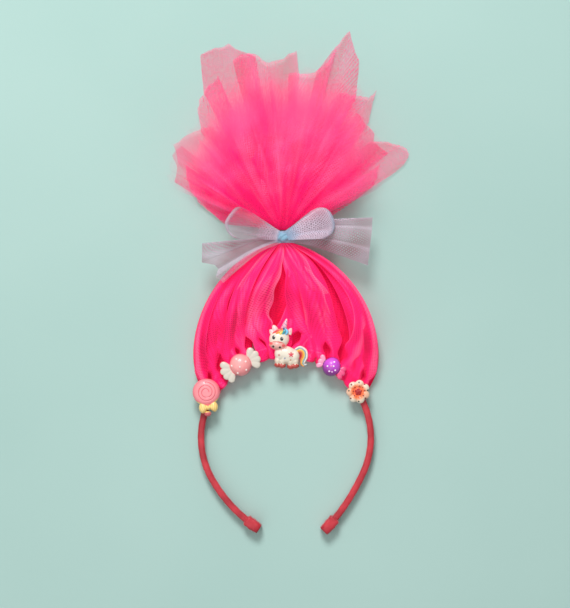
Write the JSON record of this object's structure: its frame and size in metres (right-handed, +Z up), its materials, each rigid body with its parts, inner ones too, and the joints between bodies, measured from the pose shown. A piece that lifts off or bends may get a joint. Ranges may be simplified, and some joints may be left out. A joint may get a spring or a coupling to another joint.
{
  "type": "tulle fairy headband",
  "caption": "Satin hoop headband with strips of pink tulle gathered into a bow-tied topknot and cast sweet, flower and unicorn charms along the crown.",
  "frame": {"origin": "below the middle of the whole headband, on the surface that it lies on", "axes": "+Y from the hoop's open ends towards the tips of the tulle, +Z up from the surface, +X to the wearer's left as seen from above"},
  "size_m": [0.1712, 0.3592, 0.0581],
  "materials": {
    "satin": "coral red satin, soft sheen",
    "pink_tulle": "hot pink hexagonal tulle net, see-through in one layer",
    "blue_net": "pale blue grey hexagonal net, see-through",
    "knot_net": "pale blue net in many layers",
    "lollipop_resin": "painted cast resin, gloss",
    "pink_candy_resin": "painted cast resin, gloss",
    "unicorn_resin": "painted cast resin, gloss",
    "purple_candy_resin": "painted cast resin, gloss",
    "flower_resin": "painted cast resin, gloss"
  },
  "bodies": {
    "root": {"band": "satin", "band_tip_left": "satin", "band_tip_right": "satin", "tulle_strip_01": "pink_tulle", "tulle_strip_02": "pink_tulle", "tulle_strip_03": "pink_tulle", "tulle_strip_04": "pink_tulle", "tulle_strip_05": "pink_tulle", "tulle_strip_06": "pink_tulle", "tulle_strip_07": "pink_tulle", "tulle_strip_08": "pink_tulle", "tulle_strip_09": "pink_tulle", "tulle_strip_10": "pink_tulle", "tulle_strip_11": "pink_tulle", "tulle_strip_12": "pink_tulle", "tulle_strip_13": "pink_tulle", "tulle_strip_14": "pink_tulle", "tulle_strip_15": "pink_tulle", "tulle_tuft": "pink_tulle", "bow_wrap": "knot_net", "bow_knot": "knot_net", "bow_loop_left": "blue_net", "bow_loop_right": "blue_net", "bow_tail_left": "blue_net", "bow_tail_right": "blue_net", "lollipop_charm": "lollipop_resin", "pink_candy_charm": "pink_candy_resin", "unicorn_charm": "unicorn_resin", "purple_candy_charm": "purple_candy_resin", "flower_charm": "flower_resin"}
  },
  "joints": []
}
